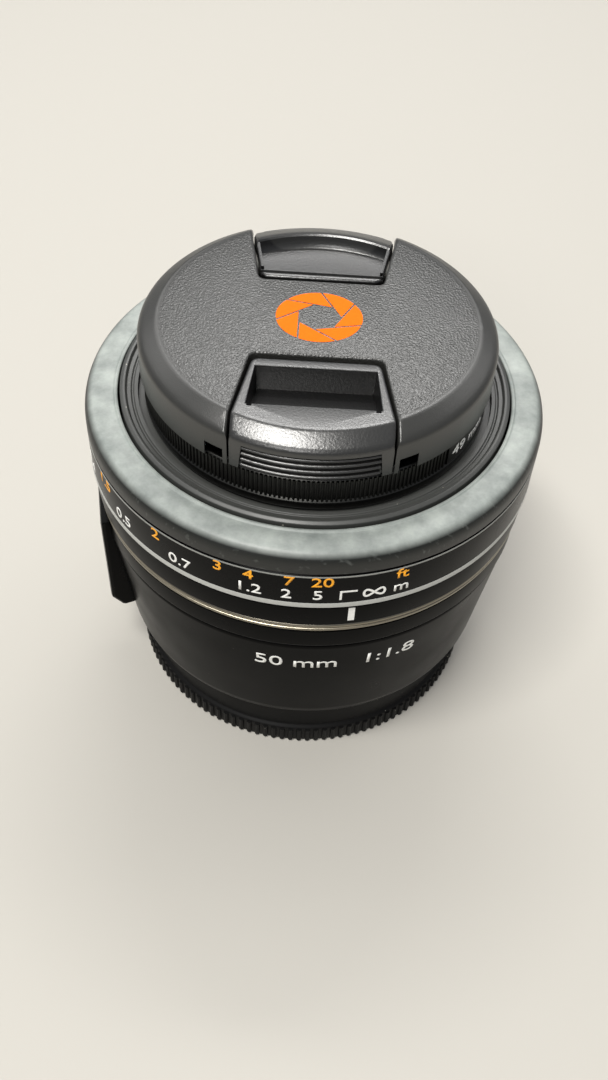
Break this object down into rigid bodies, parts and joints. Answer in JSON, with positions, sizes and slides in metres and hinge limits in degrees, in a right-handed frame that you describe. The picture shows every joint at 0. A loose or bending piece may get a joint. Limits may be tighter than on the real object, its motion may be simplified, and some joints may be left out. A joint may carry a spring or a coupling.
{
  "type": "prime camera lens",
  "caption": "Short fixed focal length camera lens with a front focusing ring, screw-in filter, pinch front cap and bayonet rear cap.",
  "frame": {"origin": "centre of the rear cap's foot, on the surface that the lens stands on", "axes": "+Z is the optical axis towards the front of the lens; -Y is the side of the focus index; -X is the side of the focus mode switch"},
  "size_m": [0.07, 0.07, 0.0686],
  "materials": {
    "moulded_black": "satin moulded, fine grain",
    "scale_band": "satin with printed scale",
    "matt_black": "matt moulded",
    "grey_rubber": "bloomed grey rubber",
    "champagne": "champagne anodised, brushed round",
    "black_anodised": "black anodised",
    "steel": "turned and nickel plated",
    "gold_plate": "gold plated",
    "acetal": "white moulded acetal",
    "circuit_board": "green solder mask",
    "coated_glass": "polished, multicoated",
    "blade_foil": "blackened foil"
  },
  "bodies": {
    "barrel": {"main_barrel": "moulded_black", "upper_barrel": "moulded_black", "trim_ring": "champagne", "focus_switch_plate": "moulded_black", "bayonet_mount_plate": "steel", "mount_screw_1": "steel", "mount_screw_2": "steel", "mount_screw_3": "steel", "mount_screw_4": "steel", "guide_tube": "black_anodised", "circuit_board": "circuit_board", "contact_block": "matt_black", "contact_pin_1": "gold_plate", "contact_pin_2": "gold_plate", "contact_pin_3": "gold_plate", "contact_pin_4": "gold_plate", "contact_pin_5": "gold_plate", "contact_pin_6": "gold_plate", "contact_pin_7": "gold_plate", "contact_pin_8": "gold_plate", "rear_baffle": "matt_black", "focus_motor": "steel"},
    "focus_ring": {"focus_scale_ring": "scale_band", "focus_rubber_grip": "grey_rubber", "focus_drive_sleeve": "black_anodised", "focus_gear_ring": "acetal"},
    "front_unit": {"front_tube": "moulded_black", "name_ring": "moulded_black", "front_lens_cell": "black_anodised", "rear_lens_cell": "black_anodised", "lens_element_1": "coated_glass", "lens_element_2": "coated_glass", "lens_element_3": "coated_glass", "lens_element_4": "coated_glass", "lens_element_5": "coated_glass", "lens_element_6": "coated_glass", "diaphragm_base": "matt_black"},
    "output_gear": {"output_gear": "acetal"},
    "idler_gear": {"idler_gear": "acetal"},
    "motor_pinion": {"motor_pinion": "acetal"},
    "aperture_lever": {"aperture_lever": "steel"},
    "diaphragm_ring": {"diaphragm_ring": "matt_black"},
    "blade_1": {"diaphragm_blade_1": "blade_foil"},
    "blade_2": {"diaphragm_blade_2": "blade_foil"},
    "blade_3": {"diaphragm_blade_3": "blade_foil"},
    "blade_4": {"diaphragm_blade_4": "blade_foil"},
    "blade_5": {"diaphragm_blade_5": "blade_foil"},
    "blade_6": {"diaphragm_blade_6": "blade_foil"},
    "blade_7": {"diaphragm_blade_7": "blade_foil"},
    "mode_slider": {"focus_mode_slider": "matt_black"},
    "rear_cap": {"rear_cap": "moulded_black"},
    "filter": {"filter_ring": "black_anodised", "filter_glass": "coated_glass", "filter_retaining_ring": "black_anodised"},
    "front_cap": {"front_cap_cover": "moulded_black", "front_cap_back_plate": "moulded_black", "cap_spring_front": "steel", "cap_spring_rear": "steel"},
    "tab_front": {"pinch_tab_front": "moulded_black"},
    "tab_rear": {"pinch_tab_rear": "moulded_black"}
  },
  "joints": [
    {"name": "focus_turn", "type": "hinge", "parent": "barrel", "child": "focus_ring", "pos_m": [0, 0, 0.045], "axis": [0, 0, 1], "range_deg": [0, 103]},
    {"name": "unit_extend", "type": "slide", "parent": "barrel", "child": "front_unit", "axis": [0, 0, 1], "range_m": [0, 0.0113]},
    {"name": "output_gear_turn", "type": "hinge", "parent": "barrel", "child": "output_gear", "pos_m": [-0.02208, 0.01275, 0.0283], "axis": [0, 0, 1], "range_deg": [0, 690]},
    {"name": "idler_gear_turn", "type": "hinge", "parent": "barrel", "child": "idler_gear", "pos_m": [-0.02258, 0.00577, 0.0275], "axis": [0, 0, 1], "range_deg": [-1240, 0]},
    {"name": "motor_pinion_turn", "type": "hinge", "parent": "barrel", "child": "motor_pinion", "pos_m": [-0.0232, 0.0003, 0.0262], "axis": [0, 0, 1], "range_deg": [0, 2170]},
    {"name": "aperture_lever_turn", "type": "hinge", "parent": "barrel", "child": "aperture_lever", "pos_m": [0, 0, 0.0138], "axis": [0, 0, 1], "range_deg": [0, 30]},
    {"name": "diaphragm_ring_turn", "type": "hinge", "parent": "front_unit", "child": "diaphragm_ring", "pos_m": [0, 0, 0.0305], "axis": [0, 0, 1], "range_deg": [0, 30]},
    {"name": "blade_1_turn", "type": "hinge", "parent": "front_unit", "child": "blade_1", "pos_m": [0.015, 0, 0.02703], "axis": [0, 0, 1], "range_deg": [-38, 0]},
    {"name": "blade_2_turn", "type": "hinge", "parent": "front_unit", "child": "blade_2", "pos_m": [0.00935, 0.01173, 0.02747], "axis": [0, 0, 1], "range_deg": [-38, 0]},
    {"name": "blade_3_turn", "type": "hinge", "parent": "front_unit", "child": "blade_3", "pos_m": [-0.00334, 0.01462, 0.02792], "axis": [0, 0, 1], "range_deg": [-38, 0]},
    {"name": "blade_4_turn", "type": "hinge", "parent": "front_unit", "child": "blade_4", "pos_m": [-0.01351, 0.00651, 0.02838], "axis": [0, 0, 1], "range_deg": [-38, 0]},
    {"name": "blade_5_turn", "type": "hinge", "parent": "front_unit", "child": "blade_5", "pos_m": [-0.01351, -0.00651, 0.02882], "axis": [0, 0, 1], "range_deg": [-38, 0]},
    {"name": "blade_6_turn", "type": "hinge", "parent": "front_unit", "child": "blade_6", "pos_m": [-0.00334, -0.01462, 0.02927], "axis": [0, 0, 1], "range_deg": [-38, 0]},
    {"name": "blade_7_turn", "type": "hinge", "parent": "front_unit", "child": "blade_7", "pos_m": [0.00935, -0.01173, 0.02973], "axis": [0, 0, 1], "range_deg": [-38, 0]},
    {"name": "mode_slide", "type": "slide", "parent": "barrel", "child": "mode_slider", "axis": [0, 0, 1], "range_m": [-0.003, 0]},
    {"name": "rear_cap_turn", "type": "hinge", "parent": "barrel", "child": "rear_cap", "pos_m": [0, 0, 0.006], "axis": [0, 0, 1], "range_deg": [0, 56]},
    {"name": "filter_lift", "type": "slide", "parent": "front_unit", "child": "filter", "axis": [0, 0, 1], "range_m": [0, 0.02]},
    {"name": "front_cap_lift", "type": "slide", "parent": "filter", "child": "front_cap", "axis": [0, 0, 1], "range_m": [0, 0.02]},
    {"name": "tab_front_slide", "type": "slide", "parent": "front_cap", "child": "tab_front", "axis": [0, 1, 0], "range_m": [0, 0.0008], "stiffness_N_per_m": 600, "deforming": ["cap_spring_front"]},
    {"name": "tab_rear_slide", "type": "slide", "parent": "front_cap", "child": "tab_rear", "axis": [0, -1, 0], "range_m": [0, 0.0008], "stiffness_N_per_m": 600, "deforming": ["cap_spring_rear"]}
  ],
  "couplings": [
    {"joint": "unit_extend", "follows": "focus_turn", "m_per_rad": 0.006245},
    {"joint": "output_gear_turn", "follows": "focus_turn", "ratio": 6.6667},
    {"joint": "idler_gear_turn", "follows": "focus_turn", "ratio": -12},
    {"joint": "motor_pinion_turn", "follows": "focus_turn", "ratio": 21},
    {"joint": "diaphragm_ring_turn", "follows": "aperture_lever_turn", "ratio": 1},
    {"joint": "blade_1_turn", "follows": "aperture_lever_turn", "ratio": -1.26},
    {"joint": "blade_2_turn", "follows": "aperture_lever_turn", "ratio": -1.26},
    {"joint": "blade_3_turn", "follows": "aperture_lever_turn", "ratio": -1.26},
    {"joint": "blade_4_turn", "follows": "aperture_lever_turn", "ratio": -1.26},
    {"joint": "blade_5_turn", "follows": "aperture_lever_turn", "ratio": -1.26},
    {"joint": "blade_6_turn", "follows": "aperture_lever_turn", "ratio": -1.26},
    {"joint": "blade_7_turn", "follows": "aperture_lever_turn", "ratio": -1.26}
  ]
}
